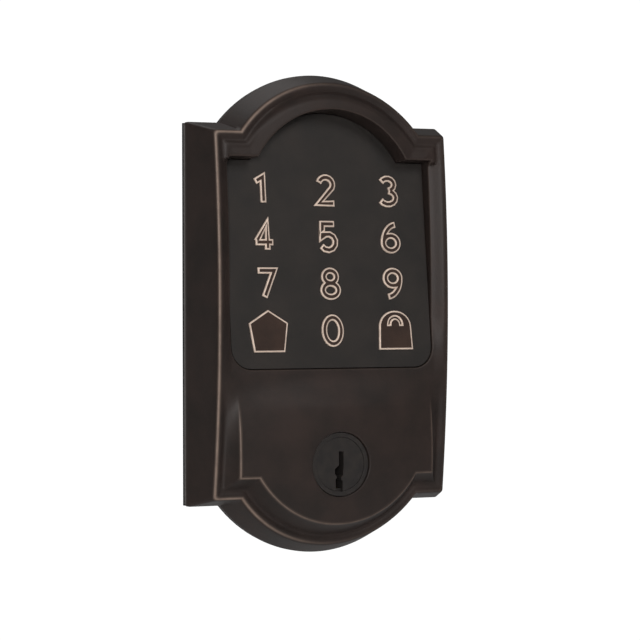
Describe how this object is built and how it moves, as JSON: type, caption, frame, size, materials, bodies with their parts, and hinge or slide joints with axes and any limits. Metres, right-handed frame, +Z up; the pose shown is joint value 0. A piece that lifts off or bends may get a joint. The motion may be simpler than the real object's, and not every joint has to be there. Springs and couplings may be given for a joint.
{
  "type": "keypad smart lock",
  "caption": "Outside unit of a deadbolt smart lock: an arched cast case with a hooded touch keypad, a keyed cylinder in a raised apron, and a tailpiece and threaded posts behind.",
  "frame": {"origin": "where the key plug's axis crosses the door's face", "axes": "+Y into the door along the key plug's axis, +Z up, the keys look towards -Y"},
  "size_m": [0.0762, 0.0633, 0.127],
  "materials": {
    "aged_bronze": "oil-rubbed bronze, satin, worn lighter along its edges",
    "panel_bronze": "dark bronze, satin",
    "worn_bronze": "bronze rubbed bright at the edges",
    "plug_bronze": "dark bronze over brass, smooth",
    "brass": "turned brass",
    "zinc_steel": "zinc plated steel",
    "hard_steel": "hardened steel",
    "spring_steel": "drawn wire",
    "soft_black": "matt black rubber",
    "clear_guide": "frosted clear acrylic",
    "board_green": "green solder mask",
    "black_plastic": "moulded black plastic",
    "white_plastic": "moulded ivory plastic"
  },
  "bodies": {
    "case": {"front_case": "aged_bronze", "touch_panel": "panel_bronze", "key_figures": "worn_bronze", "panel_seal": "soft_black", "light_guide": "clear_guide", "touch_board": "board_green", "key_lights": "white_plastic", "touch_chip": "black_plastic", "radio_module": "zinc_steel", "buzzer": "black_plastic", "board_connector": "white_plastic", "board_screws": "zinc_steel", "cylinder_body": "plug_bronze", "cylinder_seal": "soft_black", "driver_pins": "hard_steel", "pin_springs": "spring_steel", "spring_cover": "brass", "cylinder_screws": "zinc_steel", "mounting_posts": "zinc_steel", "back_plate": "zinc_steel", "back_plate_screws": "zinc_steel", "cable_grommet": "soft_black", "door_gasket": "soft_black"},
    "plug": {"cylinder_plug": "plug_bronze", "key_pins": "brass", "drill_pins": "hard_steel", "plug_cap": "brass", "cap_pin": "hard_steel", "cap_spring": "spring_steel"},
    "tail": {"tailpiece": "zinc_steel"}
  },
  "joints": [
    {"name": "key_turn", "type": "hinge", "parent": "case", "child": "plug", "pos_m": [0, 0, 0], "axis": [0, 1, 0], "range_deg": [-90, 90]},
    {"name": "tail_free_play", "type": "hinge", "parent": "plug", "child": "tail", "pos_m": [0, 0, 0], "axis": [0, 1, 0], "range_deg": [0, 90]}
  ]
}
